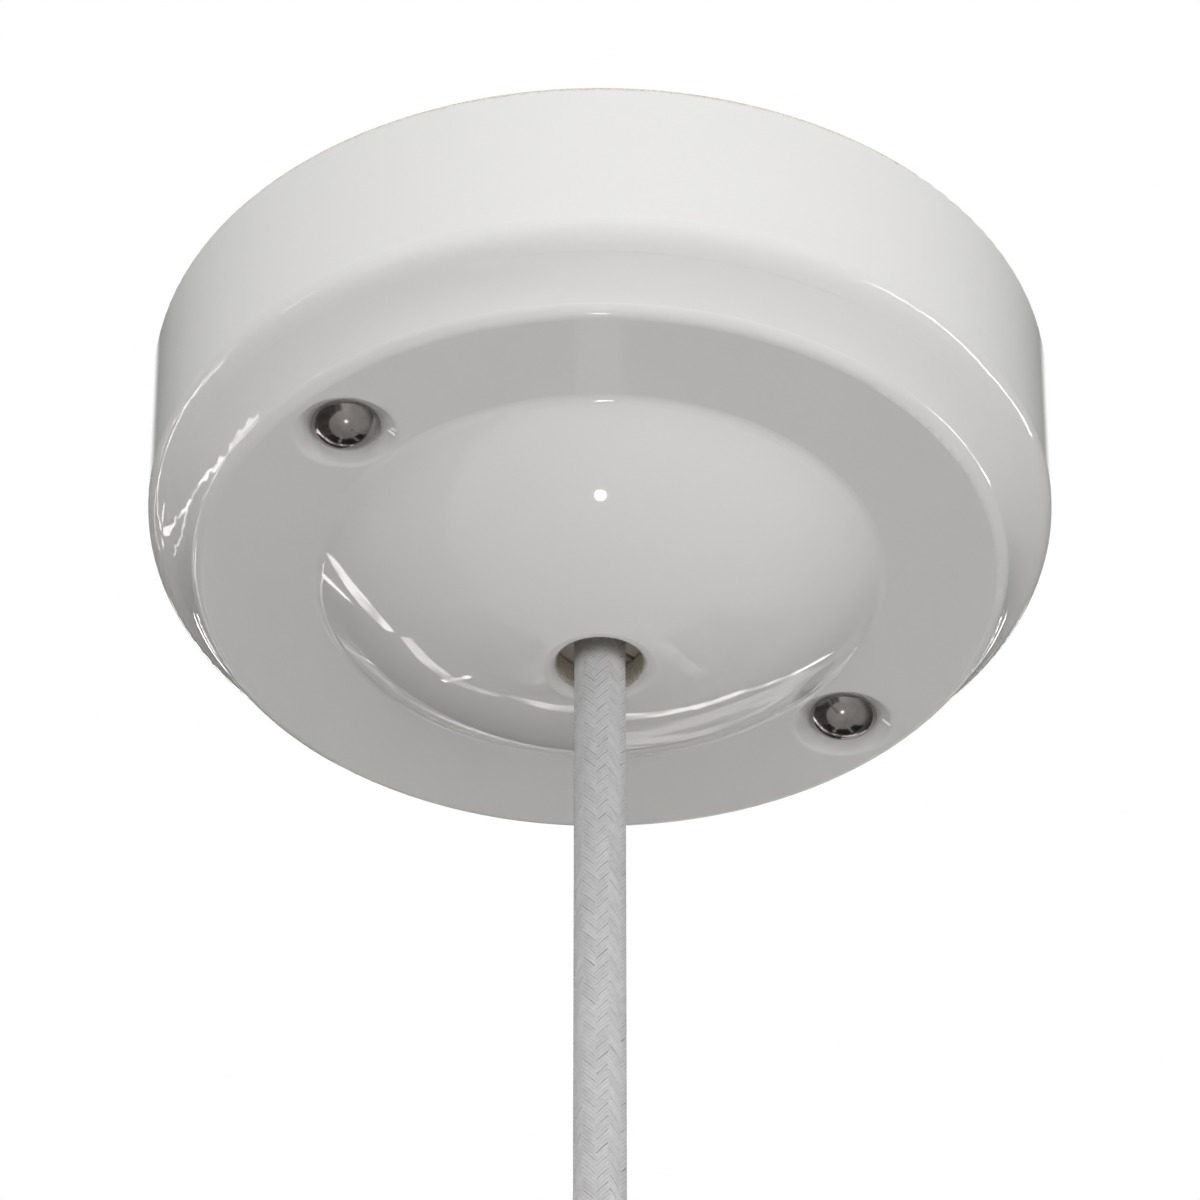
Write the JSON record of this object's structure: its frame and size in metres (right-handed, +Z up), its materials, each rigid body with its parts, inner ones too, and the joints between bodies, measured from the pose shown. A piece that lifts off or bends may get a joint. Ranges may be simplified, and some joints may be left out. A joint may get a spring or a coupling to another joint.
{
  "type": "electrical ceiling rose",
  "caption": "Round glazed porcelain ceiling rose with a domed centre, dome nuts in dished recesses, a ceiling bracket and terminal block inside, and a textile flex hanging from an inner grip.",
  "frame": {"origin": "middle of the ceiling plane, on the rose's axis, level with the rim and the bracket's upper face", "axes": "+Z up into the ceiling, X along the line of the two fixings, -Y towards the side where the flex enters its terminals"},
  "size_m": [0.12, 0.12, 0.1726],
  "materials": {
    "porcelain": "gloss",
    "chrome": "polished",
    "textile": "matt",
    "blue_sheath": "satin",
    "brown_sheath": "satin",
    "green_sheath": "satin",
    "tinned_copper": "satin",
    "brass": "satin",
    "nylon": "matt",
    "grip_fibre": "matt",
    "nickel": "satin",
    "zinc_steel": "satin"
  },
  "bodies": {
    "root": {"block_screw_left": "zinc_steel", "block_screw_right": "zinc_steel", "ceiling_bracket": "zinc_steel", "cord_grip_back": "grip_fibre", "cord_grip_front": "grip_fibre", "core_earth": "green_sheath", "core_live": "brown_sheath", "core_neutral": "blue_sheath", "dome_nut_left": "chrome", "dome_nut_right": "chrome", "earth_lead": "green_sheath", "earth_screw": "zinc_steel", "earth_tag": "zinc_steel", "earth_washer": "zinc_steel", "ferrule_bond": "tinned_copper", "ferrule_earth": "tinned_copper", "ferrule_live": "tinned_copper", "ferrule_neutral": "tinned_copper", "flex_cord": "textile", "grip_screw_left": "zinc_steel", "grip_screw_right": "zinc_steel", "lamp_core_earth": "green_sheath", "lamp_core_live": "brown_sheath", "lamp_core_neutral": "blue_sheath", "lamp_ferrule_earth": "tinned_copper", "lamp_ferrule_live": "tinned_copper", "lamp_ferrule_neutral": "tinned_copper", "lamp_grip": "nickel", "lamp_grip_screw": "zinc_steel", "nut_washer_left": "zinc_steel", "nut_washer_right": "zinc_steel", "rose_body": "porcelain", "stud_left": "zinc_steel", "stud_nut_left": "zinc_steel", "stud_nut_right": "zinc_steel", "stud_right": "zinc_steel", "stud_washer_left": "zinc_steel", "stud_washer_right": "zinc_steel", "terminal_barrel_earth": "brass", "terminal_barrel_live": "brass", "terminal_barrel_neutral": "brass", "terminal_block": "nylon", "terminal_screw_earth_flex": "zinc_steel", "terminal_screw_earth_supply": "zinc_steel", "terminal_screw_live_flex": "zinc_steel", "terminal_screw_live_supply": "zinc_steel", "terminal_screw_neutral_flex": "zinc_steel", "terminal_screw_neutral_supply": "zinc_steel"}
  },
  "joints": []
}
